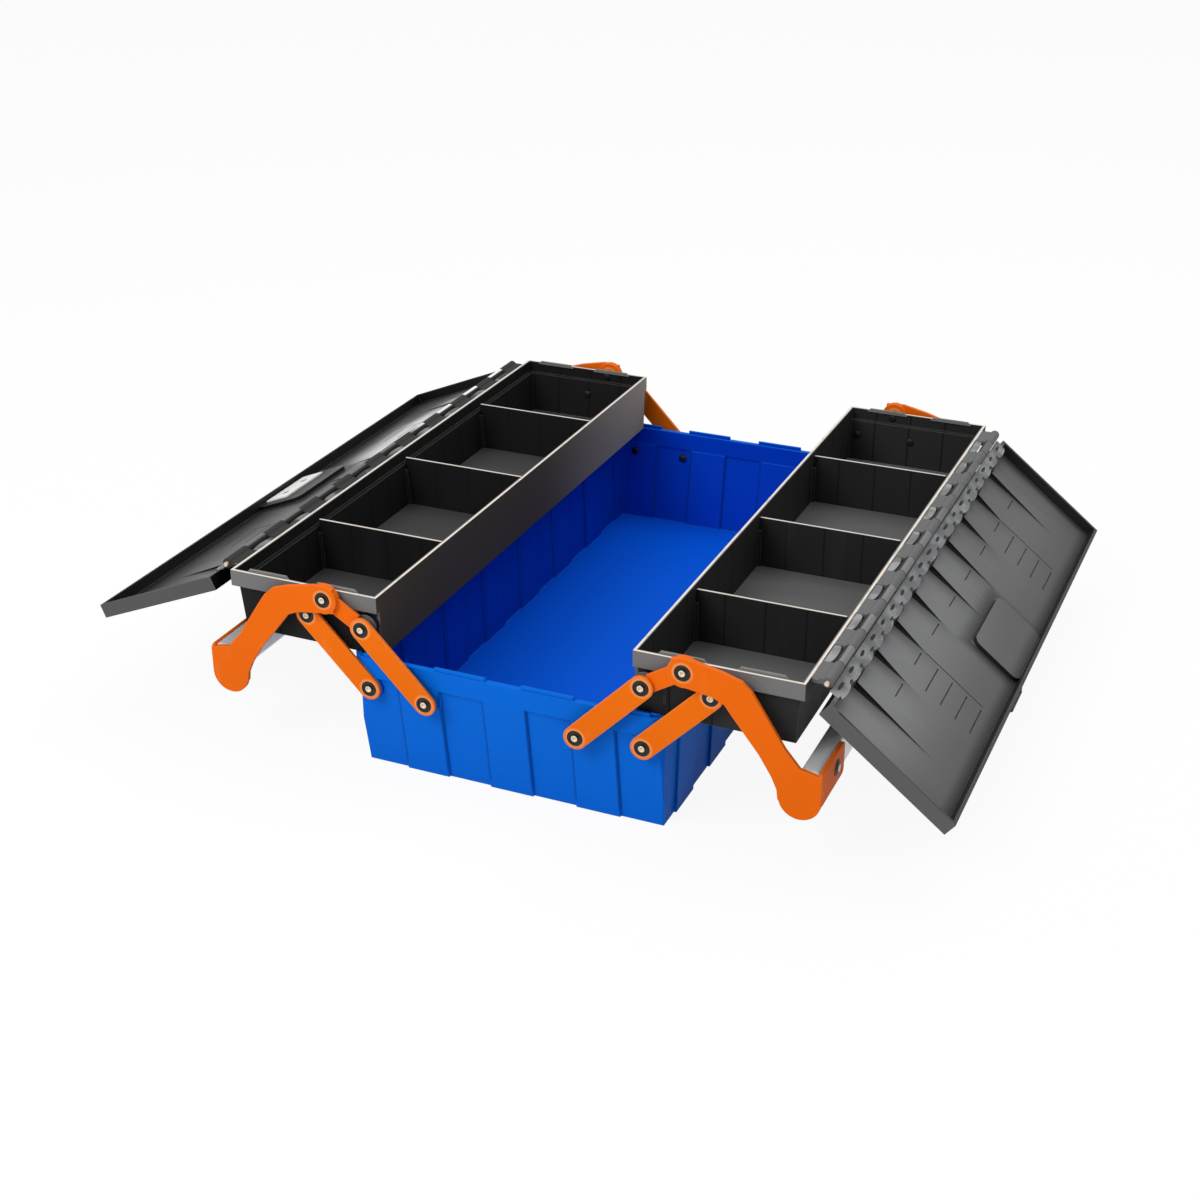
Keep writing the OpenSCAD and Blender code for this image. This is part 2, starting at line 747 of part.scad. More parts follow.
module keeper_hook() {
  color(black) mirror([1, 0, 0]) opened(lid_open_left) {
    cx = lid_x0 + (loop_reach - (loop_p[0] - lid_x0)) - 2 * (lid_x0 - travel);
    block([lid_x0 + 0.6, -8, lid_z1], [cx + 6, 8, lid_z1 + 1.2]);
    block([lid_x0 + 0.6, -8, lid_z1], [cx - wire_r - 0.5, 8, loop_p[1] + wire_r]);
  }
}

module keeper_plate() {
  color([0.75, 0.73, 0.66]) mirror([1, 0, 0]) opened(lid_open_left) difference() {
    zi = lid_z1 - lid_skin - plateau_h;
    block([lid_x0 + plate_in, -plate_l / 2, zi - 1.2], [lid_x0 + plate_in + plate_w, plate_l / 2, zi]);
    for (s = [-1, 1]) translate([lid_x0 + plate_in + plate_w / 2, s * plate_pitch / 2, zi - 2])
      cylinder(r = plate_hole_r, h = 3);
  }
}

module keeper_rivets() {
  color(grey) mirror([1, 0, 0]) opened(lid_open_left) for (s = [-1, 1])
    translate([lid_x0 + plate_in + plate_w / 2, s * plate_pitch / 2, lid_z1 - lid_skin - plateau_h - 0.8])
      cylinder(r = plate_hole_r, h = 0.8);
}

base_tub();
rim_tabs();
base_rivets();
outer_links_right();
outer_links_left();
inner_links_right();
inner_links_left();
tray_right();
tray_left();
dividers_right();
dividers_left();
tray_rivets_right();
tray_rivets_left();
arms_right();
arms_left();
bar_right();
bar_left();
bar_rivets_right();
bar_rivets_left();
hinge_pin_right();
hinge_pin_left();
lid_right();
lid_left();
latch_bracket();
latch_rivets();
latch_loop();
keeper_hook();
keeper_plate();
keeper_rivets();
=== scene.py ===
"""Cantilever tool box: the looks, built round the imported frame."""
import math

import bpy
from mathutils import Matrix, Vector


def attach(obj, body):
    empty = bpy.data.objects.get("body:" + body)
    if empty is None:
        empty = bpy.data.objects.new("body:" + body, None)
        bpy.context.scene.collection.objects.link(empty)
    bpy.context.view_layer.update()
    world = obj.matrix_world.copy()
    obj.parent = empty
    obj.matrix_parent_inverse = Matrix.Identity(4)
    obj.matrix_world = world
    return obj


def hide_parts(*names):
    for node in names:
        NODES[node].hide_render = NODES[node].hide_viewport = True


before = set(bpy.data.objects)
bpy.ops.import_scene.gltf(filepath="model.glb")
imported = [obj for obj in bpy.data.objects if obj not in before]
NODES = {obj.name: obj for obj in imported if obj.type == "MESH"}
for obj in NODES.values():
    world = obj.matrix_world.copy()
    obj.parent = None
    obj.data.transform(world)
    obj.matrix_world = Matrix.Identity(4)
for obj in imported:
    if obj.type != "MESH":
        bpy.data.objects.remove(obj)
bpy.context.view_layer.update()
MM = 0.001


# ---------------------------------------------------------------- the tub
# The deep tub is one injection moulding in blue polypropylene, with raised
# panels down its walls, a plain band round its rim and low guide tabs.

def both_ways(operation):
    """An operator that adds a Math node, and its reflected form."""
    def plain(wire, other=0.0):
        return wire.weave.node("ShaderNodeMath", {"operation": operation}, {0: wire, 1: other})

    def reflected(wire, other):
        return wire.weave.node("ShaderNodeMath", {"operation": operation}, {0: other, 1: wire})

    return plain, reflected


class Wire:
    """A node's output. An expression on it adds the Math nodes that work it out."""

    def __init__(self, weave, socket):
        self.weave, self.socket = weave, socket

    __add__, __radd__ = both_ways("ADD")
    __sub__, __rsub__ = both_ways("SUBTRACT")
    __mul__, __rmul__ = both_ways("MULTIPLY")
    __truediv__, __rtruediv__ = both_ways("DIVIDE")
    __mod__, __rmod__ = both_ways("FLOORED_MODULO")
    __pow__, __rpow__ = both_ways("POWER")
    __gt__, __lt__ = both_ways("GREATER_THAN")
    __abs__ = both_ways("ABSOLUTE")[0]
    at_most = both_ways("MINIMUM")[0]
    at_least = both_ways("MAXIMUM")[0]
    sign = both_ways("SIGN")[0]


class Weave:
    """A tree of nodes, which starts empty."""

    def __init__(self, tree):
        self.tree = tree
        tree.nodes.clear()

    def node(self, kind, settings=None, inputs=None, out=0):
        """Adds a node: its settings, then its sockets' values or links. Gives one output."""
        made = self.tree.nodes.new(kind)
        for name, value in (settings or {}).items():
            setattr(made, name, value)
        for name, value in (inputs or {}).items():
            for one in value if isinstance(value, list) else [value]:
                if isinstance(one, Wire):
                    self.tree.links.new(one.socket, made.inputs[name])
                elif one is not None:
                    made.inputs[name].default_value = one
        return Wire(self, made.outputs[out]) if made.outputs else None


class Finish(Weave):
    """One finish of the box, as a material."""

    def __init__(self, name):
        self.material = bpy.data.materials.new(name)
        self.material.use_nodes = True
        super().__init__(self.material.node_tree)
        self.where = self.node("ShaderNodeTexCoord", out="Object")
        self.x, self.y, self.z = self.split(self.where)

    def split(self, vector):
        parts = self.node("ShaderNodeSeparateXYZ", {}, {0: vector}).socket.node.outputs
        return [Wire(self, part) for part in parts]

    def mix(self, share, first, second):
        first, second = [(*c, 1) if isinstance(c, tuple) else c for c in (first, second)]
        return self.node("ShaderNodeMix", {"data_type": "RGBA"},
                         {0: share, 6: first, 7: second}, 2)

    def noise(self, scale, detail=3.0, stretch=None):
        where = self.where
        if stretch:
            where = self.node("ShaderNodeMapping", {}, {"Vector": where, "Scale": stretch})
        return self.node("ShaderNodeTexNoise", {},
                         {"Vector": where, "Scale": scale, "Detail": detail})

    def fade(self, value, start, end):
        """0 at start and 1 at end, smoothly."""
        return self.node("ShaderNodeMapRange", {"interpolation_type": "SMOOTHSTEP"},
                         {"Value": value, "From Min": start, "From Max": end})

    def facing(self):
        """The surface's own direction, as x, y and z."""
        return self.split(self.node("ShaderNodeTexCoord", out="Normal"))

    def lines(self, value, period, half, soft):
        """1 on thin lines at every period of a value, 0 between them."""
        off = abs((value + period / 2) % period - period / 2)
        return 1 - self.fade(off, half, half + soft)

    def rounded(self, radius):
        """A shading normal that rounds the edges, and how much of an edge a place is."""
        soft = self.node("ShaderNodeBevel", {"samples": 6}, {"Radius": radius})
        flat = self.node("ShaderNodeNewGeometry", out="Normal")
        likeness = self.node("ShaderNodeVectorMath", {"operation": "DOT_PRODUCT"},
                             {0: soft, 1: flat}, "Value")
        return soft, self.fade(likeness, 1.0, 0.86)

    def close(self, colour, rough, normal=None, bump=None, depth=0.0, metal=0.0, specular=0.5):
        """Ends the tree in one shader and gives the material. Depth is the bump's."""
        if bump is not None:
            normal = self.node("ShaderNodeBump", {}, {
                "Strength": 1.0, "Distance": depth, "Height": bump, "Normal": normal})
        shader = self.node("ShaderNodeBsdfPrincipled", {}, {
            "Base Color": colour, "Roughness": rough, "Metallic": metal,
            "Specular IOR Level": specular, "Normal": normal})
        self.node("ShaderNodeOutputMaterial", {}, {"Surface": shader})
        return self.material


def dress(node, material):
    for place in NODES[node].material_slots:
        place.material = material


PANEL_PITCH, PANEL_HALF = 57.6 * MM, 14.4 * MM
TUB_FLOOR, BAND_LOW = 7 * MM, 66 * MM


def blue_finish():
    """Blue, with painted shade on the inner walls, on the floor and in a crease down each side of
    every panel.
    """
    f = Finish("tub_blue")
    blue, deep, pale = (0.0, 0.128, 0.62), (0.0, 0.098, 0.53), (0.002, 0.20, 0.80)
    end_wall, long_wall = (0.0, 0.048, 0.52), (0.0, 0.042, 0.42)
    floor, crease = (0.0, 0.085, 0.62), (0.0, 0.018, 0.16)
    nx, ny, nz = f.facing()
    soft, edge = f.rounded(1.2 * MM)
    tone = f.mix(f.noise(9.0) * 0.45, blue, deep)
    # painted shade: the inner walls, those that face the middle of the tub, and the floor are
    # darker
    tone = f.mix((ny * f.y) < -0.12, tone, end_wall)
    tone = f.mix((nx * f.x) < -0.06, tone, long_wall)
    tone = f.mix((f.z < TUB_FLOOR) * f.fade(nz, 0.6, 0.9), tone, floor)
    # painted shade in a crease down each side of every panel, below the band
    on_walls = []
    for along, across in ((f.y, nx), (f.x, ny)):
        off_middle = abs((along + PANEL_PITCH / 2) % PANEL_PITCH - PANEL_PITCH / 2)
        line = 1 - f.fade(abs(off_middle - PANEL_HALF), 0.25 * MM, 1.3 * MM)
        on_walls.append(line * f.fade(abs(across), 0.7, 0.9))
    creases = (on_walls[0] + on_walls[1]).at_most(1.0)
    below_band = f.fade(f.z, BAND_LOW, BAND_LOW - 1.5 * MM) * f.fade(f.z, 2 * MM, 8 * MM)
    tone = f.mix(creases * below_band * 0.75, tone, crease)
    tone = f.mix(edge * 0.35, tone, pale)
    return f.close(tone, 0.48 + f.noise(25.0, 4) * 0.12, soft,
                   bump=f.noise(900.0, 2), depth=0.04 * MM, specular=0.05)


tub_blue = blue_finish()
dress("base_tub", tub_blue)
dress("rim_tabs", tub_blue)


# ------------------------------------------------- the pivots on the tub
# Each pivot is a tubular steel rivet through a black dished washer; its
# rolled end shows in the dish, and its tail is spread inside the wall.

class Pattern(Weave):
    """A Geometry Nodes tree, with named inputs, that is grown into a plain mesh."""

    def __init__(self, name, **sizes):
        super().__init__(bpy.data.node_groups.new(name, "GeometryNodeTree"))
        face = self.tree.interface
        face.new_socket("Places", in_out="INPUT", socket_type="NodeSocketGeometry")
        self.keys = {}
        for label, value in sizes.items():
            kind = "NodeSocketInt" if isinstance(value, int) else "NodeSocketFloat"
            socket = face.new_socket(label, in_out="INPUT", socket_type=kind)
            socket.default_value = value
            self.keys[label] = socket.identifier
        face.new_socket("Mesh", in_out="OUTPUT", socket_type="NodeSocketGeometry")

    def size(self, label):
        return self.node("NodeGroupInput", out=label)

    def vector(self, x=0.0, y=0.0, z=0.0):
        return self.node("ShaderNodeCombineXYZ", {}, {"X": x, "Y": y, "Z": z})

    def placed(self, shape, **how):
        """A shape after a Translation, Rotation or Scale."""
        return self.node("GeometryNodeTransform", {}, {"Geometry": shape, **how})

    def turned(self, profile, segments):
        """A turned shape from (radius, height) steps, its unit the tree's own."""
        rings = []
        for (r0, h0), (r1, h1) in zip(profile, profile[1:]):
            falling = h1 < h0
            low, high = ((r1, h1), (r0, h0)) if falling else ((r0, h0), (r1, h1))
            ring = self.node("GeometryNodeMeshCone", {"fill_type": "NONE"}, {
                "Vertices": segments, "Radius Bottom": low[0], "Radius Top": high[0],
                "Depth": max(high[1] - low[1], 1e-6)})
            if falling:
                ring = self.node("GeometryNodeFlipFaces", {}, {"Mesh": ring})
            rings.append(self.placed(ring, Translation=(0, 0, low[1])))
        joined = self.node("GeometryNodeJoinGeometry", {}, {"Geometry": rings})
        return self.node("GeometryNodeMergeByDistance", {},
                         {"Geometry": joined, "Distance": 0.004})

    def finish(self, shape, material, smooth=True, **how):
        """Sets the shape on each place and ends the tree."""
        put = self.node("GeometryNodeInstanceOnPoints", {},
                        {"Points": self.size("Places"), "Instance": shape, **how})
        real = self.node("GeometryNodeRealizeInstances", {}, {"Geometry": put})
        shaded = self.node("GeometryNodeSetShadeSmooth", {},
                           {"Geometry": real, "Shade Smooth": smooth})
        painted = self.node("GeometryNodeSetMaterial", {},
                            {"Geometry": shaded, "Material": material})
        self.node("NodeGroupOutput", {}, {0: painted})
        return self

    def grow(self, name, places, **sizes):
        """One plain mesh of the pattern on these places, with these sizes."""
        seed = bpy.data.meshes.new(name + "_places")
        seed.from_pydata(places, [], [])
        host = bpy.data.objects.new(name + "_places", seed)
        bpy.context.collection.objects.link(host)
        modifier = host.modifiers.new("pattern", "NODES")
        modifier.node_group = self.tree
        for label, value in sizes.items():
            modifier[self.keys[label]] = value
        ready = host.evaluated_get(bpy.context.evaluated_depsgraph_get())
        mesh = bpy.data.meshes.new_from_object(ready)
        bpy.data.objects.remove(host)
        piece = bpy.data.objects.new(name, mesh)
        bpy.context.collection.objects.link(piece)
        return piece


def turned_pattern(name, profile, material, segments=24):
    """A turned piece on each place, its axis pointing out of that end of the box."""
    p = Pattern(name, Radius=1.0, Height=1.0)
    spread = p.vector(p.size("Radius"), p.size("Radius"), p.size("Height"))
    shape = p.placed(p.turned(profile, segments), Scale=spread)
    y = p.node("ShaderNodeSeparateXYZ", {}, {0: p.node("GeometryNodeInputPosition")}, "Y")
    return p.finish(shape, material, Rotation=p.vector(y.sign() * (-math.pi / 2)))


def black_finish():
    f = Finish("black_steel")
    soft, edge = f.rounded(0.4 * MM)
    tone = f.mix(edge * 0.4, (0.007, 0.007, 0.008), (0.07, 0.065, 0.06))
    return f.close(tone, 0.34 + f.noise(200.0) * 0.25, soft, specular=0.35)


def steel_finish():
    f = Finish("plated_steel")
    tone = f.mix(f.noise(260.0, 4), (0.92, 0.76, 0.56), (0.62, 0.49, 0.36))
    return f.close(tone, 0.34 + f.noise(500.0) * 0.2, metal=0.45)


black_steel, plated_steel = black_finish(), steel_finish()
# unit profiles: radius by radius, height by height
DISH = [(1.0, 0.0), (1.0, 0.62), (0.97, 0.90), (0.91, 1.0), (0.85, 0.92), (0.76, 0.56),
        (0.58, 0.22), (0.44, 0.10), (0.001, 0.08)]
ROLLED_END = [(0.62, 0.0), (0.86, 0.45), (1.0, 0.72), (0.93, 0.95), (0.74, 1.0), (0.54, 0.86),
              (0.44, 0.45), (0.40, 0.15), (0.001, 0.12)]
SPREAD_TAIL = [(0.001, -1.0), (0.45, -0.97), (0.80, -0.78), (0.98, -0.35), (1.0, 0.0)]
dishes = turned_pattern("pivot_dish", DISH, black_steel, 32)
rolled_ends = turned_pattern("rivet_end", ROLLED_END, plated_steel)
spread_tails = turned_pattern("rivet_tail", SPREAD_TAIL, black_steel)

DISH_R, DISH_H = 4.9 * MM, 0.75 * MM
END_R, END_H = 2.1 * MM, 1.1 * MM
TAIL_R, TAIL_H = 2.9 * MM, 1.0 * MM


def both_ends(x, y, z):
    return [(x, -y, z), (x, y, z)]


def rivet_set(name, body, node, outer, inner):
    """Dishes, rivet ends and tails of one body, standing for its CAD rivets."""
    piece = dishes.grow("dishes_" + name, outer, Radius=DISH_R, Height=DISH_H)
    ends = rolled_ends.grow("rivet_ends_" + name, outer, Radius=END_R, Height=END_H)
    tails = spread_tails.grow("rivet_tails_" + name, inner, Radius=TAIL_R, Height=TAIL_H)
    for one, slot in ((piece, "black_metal"), (ends, "rivet_metal"), (tails, "black_metal")):
        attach(one, body)
    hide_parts(node)


# the outer faces of the inner and outer links, and the tub's inner face
LINK_OUT, LOW_LINK_OUT, TUB_IN = 221.95 * MM, 217.32 * MM, 209.5 * MM
INNER_X, OUTER_X, PIVOT_Z = 49.763 * MM, 90.2 * MM, 58.4 * MM
tub_outer, tub_inner = [], []
for side in (1, -1):
    tub_outer += both_ends(side * INNER_X, LINK_OUT, PIVOT_Z)
    tub_outer += both_ends(side * OUTER_X, LOW_LINK_OUT, PIVOT_Z)
    for x in (INNER_X, OUTER_X):
        tub_inner += both_ends(side * x, TUB_IN, PIVOT_Z)
rivet_set("tub", "base", "base_rivets", tub_outer, tub_inner)


# -------------------------------------------------------------- the links
# Four flat links a side, pressed from orange plastic, carry each tray; the
# outer pair lies against the walls and the inner pair outside the arms.

def toned(colour, share):
    return tuple(v * share for v in colour)


def orange_finish(name, orange, low, high, pale_share, holes):
    """Orange plastic, pale along its edges and round its holes, duller toward low."""
    f = Finish(name)
    dull, pale = toned(orange, 0.80), (1.0, 0.50, 0.20)
    soft, edge = f.rounded(0.9 * MM)
    tone = f.mix(f.noise(14.0, 3) * 0.7, orange, dull)
    tone = f.mix(f.fade(f.z, high, low) * 0.30, tone, dull)
    scuff = f.fade(f.noise(120.0, 5, (1, 1, 0.35)), 0.60, 0.78)
    tone = f.mix(scuff * 0.07, tone, pale)
    for x, z in holes:
        dx, dz = abs(f.x) - x, f.z - z
        off = (dx * dx + dz * dz) ** 0.5
        ring = f.fade(off, 4.4 * MM, 5.0 * MM) * f.fade(off, 7.2 * MM, 5.4 * MM)
        tone = f.mix(ring * 0.40, tone, pale)
    tone = f.mix(edge * pale_share, tone, pale)
    return f.close(tone, 0.46 + f.noise(40.0, 4) * 0.14, soft,
                   bump=f.noise(1100.0, 2), depth=0.03 * MM, specular=0.08)


TRAY_INNER_X, TRAY_OUTER_X, TRAY_PIVOT_Z = 90.826 * MM, 131.263 * MM, 100.626 * MM
LINK_HOLES = [(INNER_X, PIVOT_Z), (OUTER_X, PIVOT_Z), (TRAY_INNER_X, TRAY_PIVOT_Z),
              (TRAY_OUTER_X, TRAY_PIVOT_Z)]
link_orange = orange_finish("link_orange", (0.82, 0.150, 0.0), 50 * MM, 108 * MM, 0.50, LINK_HOLES)
for side in ("right", "left"):
    dress("outer_links_" + side, link_orange)
    dress("inner_links_" + side, link_orange)


# -------------------------------------------------------------- the trays
# Each tray is moulded in dark grey plastic with three loose dividers that
# slide down between pairs of ribs; a painted highlight runs as a pale line along the rims.

TRAY_IN, TRAY_OUT, TRAY_END, TRAY_WALL = 83.126 * MM, 185.526 * MM, 215 * MM, 1.7 * MM
TRAY_FLOOR, TRAY_RIM, DIVIDER_PITCH = 81.3 * MM, 120.1 * MM, 118.2 * MM
LONG_CREASE, END_CREASE = 27 * MM, 26 * MM
CREAM, LIT_TOP_GREY, LINE_SHADE = (0.74, 0.66, 0.58), (0.17, 0.17, 0.17), (0.003, 0.003, 0.003)


def grey(level):
    return (level, level, level)


def tray_finish(name, wall, floor, hinge):
    """Dark inside, with painted light and shade: end walls that pale upward, a long wall that
    pales toward the far end.
    """
    f = Finish(name)
    nx, ny, nz = f.facing()
    soft, edge = f.rounded(0.7 * MM)
    across, along = abs(f.x), abs(f.y)
    # how far a place is inside the tray's outline, seen from above
    depth = (across - TRAY_IN).at_most(TRAY_OUT - across).at_most(TRAY_END - along)
    inside = f.fade(depth, TRAY_WALL, TRAY_WALL + 0.4 * MM)
    upward, end_face = f.fade(nz, 0.6, 0.95), f.fade(abs(ny), 0.6, 0.9)
    tone = f.mix(f.noise(11.0, 3) * 0.6, wall, toned(wall, 0.45))
    # thin upright lines of painted shade down the inner walls
    creases = f.mix(end_face, f.lines(f.y, LONG_CREASE, 0.3 * MM, 0.5 * MM),
                    f.lines(across, END_CREASE, 0.3 * MM, 0.5 * MM))
    tone = f.mix(creases * inside * (1 - upward) * 0.8, tone, LINE_SHADE)
    # painted light: the floor, facing up, is paler than the walls, with paler streaks across it
    on_floor = upward * f.fade(f.z, TRAY_FLOOR + 3 * MM, TRAY_FLOOR + 1 * MM)
    tone = f.mix(on_floor, tone, floor)
    pale_streaks = f.fade(f.noise(30.0, 5, (0.25, 1, 1)), 0.45, 0.75)
    tone = f.mix(on_floor * pale_streaks * 0.35, tone, toned(floor, 1.7))
    # painted shade and light on the outer faces: the end walls are shaded low and pale upward, the
    # inner long wall is shaded near and pales toward the far end
    end_wall = end_face * (1 - inside)
    high = f.fade(f.z, 92 * MM, 112 * MM)
    tone = f.mix(end_wall, tone, f.mix(high, (0.075, 0.070, 0.064), (0.155, 0.155, 0.157)))
    long_wall = (f.fade(abs(nx), 0.7, 0.9)
                 * f.fade(across, TRAY_IN + 0.6 * MM, TRAY_IN + 0.3 * MM))
    far = f.fade(f.y + f.noise(7.0, 2) * 60 * MM, 20 * MM, 240 * MM)
    tone = f.mix(long_wall, tone, f.mix(far, (0.056, 0.043, 0.020), (0.24, 0.21, 0.17)))
    tone = f.mix(edge * 0.22, tone, (0.34, 0.33, 0.32))
    tone = f.mix(f.fade(across, TRAY_OUT + 0.2 * MM, TRAY_OUT + 0.5 * MM), tone, hinge)
    # the rim: painted light, a lit grey top with a painted highlight as a pale line along the top
    # of the wall
    top = upward * f.fade(f.z, TRAY_RIM - 1.2 * MM, TRAY_RIM - 0.5 * MM) * (depth > -0.2 * MM)
    tone = f.mix(top, tone, LIT_TOP_GREY)
    rim_highlight = 0.65 + f.fade(f.noise(90.0, 4), 0.25, 0.5) * 0.35
    tone = f.mix(top * f.fade(depth, TRAY_WALL, TRAY_WALL - 0.4 * MM) * rim_highlight, tone, CREAM)
    return f.close(tone, 0.50 + f.noise(22.0, 5) * 0.18, soft,
                   bump=f.noise(800.0, 2), depth=0.04 * MM, specular=0.12)


def divider_finish(name, wall):
    """Dark loose plates with painted shade in thin upright lines, and painted light and a painted
    highlight along the top.
    """
    f = Finish(name)
    soft, _ = f.rounded(0.6 * MM)
    tone = f.mix(f.noise(11.0, 3) * 0.6, wall, toned(wall, 0.45))
    # thin upright lines of painted shade down the plates
    creases = f.lines(abs(f.x), END_CREASE, 0.3 * MM, 0.5 * MM)
    tone = f.mix(creases * 0.8, tone, LINE_SHADE)
    streak = f.fade(f.noise(60.0, 3, (1, 1, 0.15)), 0.52, 0.75)
    tone = f.mix(streak * 0.25, tone, toned(wall, 2.2))
    # painted light: a lit grey top, with a painted highlight as a thin pale line along its middle
    upward = f.fade(f.facing()[2], 0.6, 0.95)
    tone = f.mix(upward, tone, LIT_TOP_GREY)
    middle = f.lines(f.y, DIVIDER_PITCH, 0.55 * MM, 0.25 * MM)
    tone = f.mix(upward * middle * (0.75 + f.noise(90.0, 4) * 0.25), tone, CREAM)
    return f.close(tone, 0.40 + f.noise(22.0, 5) * 0.2, soft,
                   bump=f.noise(800.0, 2), depth=0.04 * MM, specular=0.25)


def tab_pattern(material):
    """A low tapered tab on each place, standing on its foot."""
    p = Pattern("rim_tab", Length=0.03, Thickness=0.0015, Height=0.0025)
    taper = p.node("GeometryNodeMeshCone", {"fill_type": "NGON"}, {
        "Vertices": 4, "Radius Bottom": 1.0, "Radius Top": 0.86, "Depth": 1.0})
    # a four-sided cone of radius 1, turned by 45 degrees, is the root of 2 wide
    square = p.placed(taper, Rotation=(0, 0, math.pi / 4))
    wide, deep = p.size("Length") * math.sqrt(0.5), p.size("Thickness") * math.sqrt(0.5)
    tab = p.placed(square, Scale=p.vector(wide, deep, p.size("Height")))
    return p.finish(tab, material, smooth=False)


def tab_finish():
    f = Finish("tab_grey")
    soft, edge = f.rounded(0.3 * MM)
    tone = f.mix(f.noise(60.0, 4), (0.19, 0.188, 0.185), (0.14, 0.139, 0.137))
    tone = f.mix(edge * 0.5, tone, CREAM)
    return f.close(tone, 0.5 + f.noise(200.0) * 0.15, soft, specular=0.15)


# kept clear of the lid, which comes down over them
TAB_XS, TAB_Y, TAB_FOOT = (112 * MM, 160 * MM), 212.1 * MM, 119.2 * MM
TAB_LENGTH, TAB_THICKNESS, TAB_HEIGHT = 30 * MM, 1.5 * MM, 2.5 * MM
tab_grey = tab_finish()
for side, sign, wall, floor, hinge in (("right", 1, 0.026, 0.092, 0.13),
                                       ("left", -1, 0.013, 0.050, 0.035)):
    dress("tray_" + side, tray_finish("tray_dark_" + side, grey(wall), grey(floor), grey(hinge)))
    places = [(sign * x, y, TAB_FOOT) for x in TAB_XS for y in (-TAB_Y, TAB_Y)]
    tabs = tab_pattern(tab_grey).grow("tray_tabs_" + side, places, Length=TAB_LENGTH,
                                      Thickness=TAB_THICKNESS, Height=TAB_HEIGHT)
    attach(tabs, "tray_" + side)
    dress("dividers_" + side, divider_finish("divider_dark_" + side, grey(wall * 0.7)))


# ----------------------------------------------- the pivots on the trays
# Two link pivots and the arm pivot sit in each tray's end walls, made in
# the same way as those on the tub.

ARM_OUT, ARM_X, ARM_Z = 222.45 * MM, 116.026 * MM, 116.026 * MM
LINK_TAIL_Y, ARM_TAIL_Y = 208.5 * MM, 212.8 * MM
for side, sign in (("right", 1), ("left", -1)):
    outer, inner = [], []
    for x, head_y, tail_y, z in ((TRAY_INNER_X, LINK_OUT, LINK_TAIL_Y, TRAY_PIVOT_Z),
                                 (TRAY_OUTER_X, LOW_LINK_OUT, LINK_TAIL_Y, TRAY_PIVOT_Z),
                                 (ARM_X, ARM_OUT, ARM_TAIL_Y, ARM_Z)):
        outer += both_ends(sign * x, head_y, z)
        inner += both_ends(sign * x, tail_y, z)
    rivet_set("tray_" + side, "tray_" + side, "tray_rivets_" + side, outer, inner)


# ------------------------------------------------------------ the handles
# A pair of cranked orange arms turns on each tray; between their feet runs
# the bar, a flat drawn aluminium tube held by a rivet through each flange.

BAR_RIVET_Y, BAR_RIVET_Z = 192.4 * MM, 58.326 * MM


def bar_finish():
    """Drawn aluminium, with fine lines along the bar."""
    f = Finish("bar_aluminium")
    drawn = f.noise(700.0, 3, (1, 0.012, 1))
    tone = f.mix(f.noise(30.0, 4, (1, 0.2, 1)), (0.84, 0.845, 0.85), (0.66, 0.67, 0.69))
    return f.close(tone, 0.26 + drawn * 0.22, bump=drawn, depth=0.03 * MM, metal=0.35)


def bar_rivet_finish():
    """A bright shank end in the middle of a dark head."""
    f = Finish("bar_rivet_steel")
    dy, dz = abs(f.y) - BAR_RIVET_Y, f.z - BAR_RIVET_Z
    head = f.fade((dy * dy + dz * dz) ** 0.5, 2.1 * MM, 2.5 * MM)
    tone = f.mix(head, (0.80, 0.66, 0.50), grey(0.010))
    return f.close(tone, 0.36 + f.noise(300.0) * 0.2, metal=0.3)


arm_orange = orange_finish("arm_orange", (0.82, 0.135, 0.0), 36 * MM, 125 * MM, 0.22,
                           [(ARM_X, ARM_Z)])
bar_aluminium, bar_rivet_steel = bar_finish(), bar_rivet_finish()
for side in ("right", "left"):
    dress("arms_" + side, arm_orange)
    dress("bar_" + side, bar_aluminium)
    dress("bar_rivets_" + side, bar_rivet_steel)


# --------------------------------------------------------------- the lids
# Each lid is a shallow pressed pan that hangs from a steel pin along its
# tray; louvres and scored lines stiffen its inside.

PIN_X, PIN_Z = 194.826 * MM, 118.1 * MM
RIGHT_OPEN, LEFT_OPEN = math.radians(38.2), math.radians(22.7)
# the edges of the pan, its raised middle and its louvres; reach is the
# distance off the pin, measured down the lid
LID_END, LID_REACH = 215 * MM, 103.7 * MM
MIDDLE_HALF, MIDDLE_REACH = 34 * MM, 63.5 * MM
LOUVRE_PITCH, LOUVRE_START, LOUVRE_REACH, LOUVRE_LAST_Y = 42.3 * MM, 15.5 * MM, 46 * MM, 171 * MM


def down_lid(f, opening):
    """The reach of a place on a lid that stands open by this angle."""
    return (abs(f.x) - PIN_X) * math.cos(opening) - (f.z - PIN_Z) * math.sin(opening)


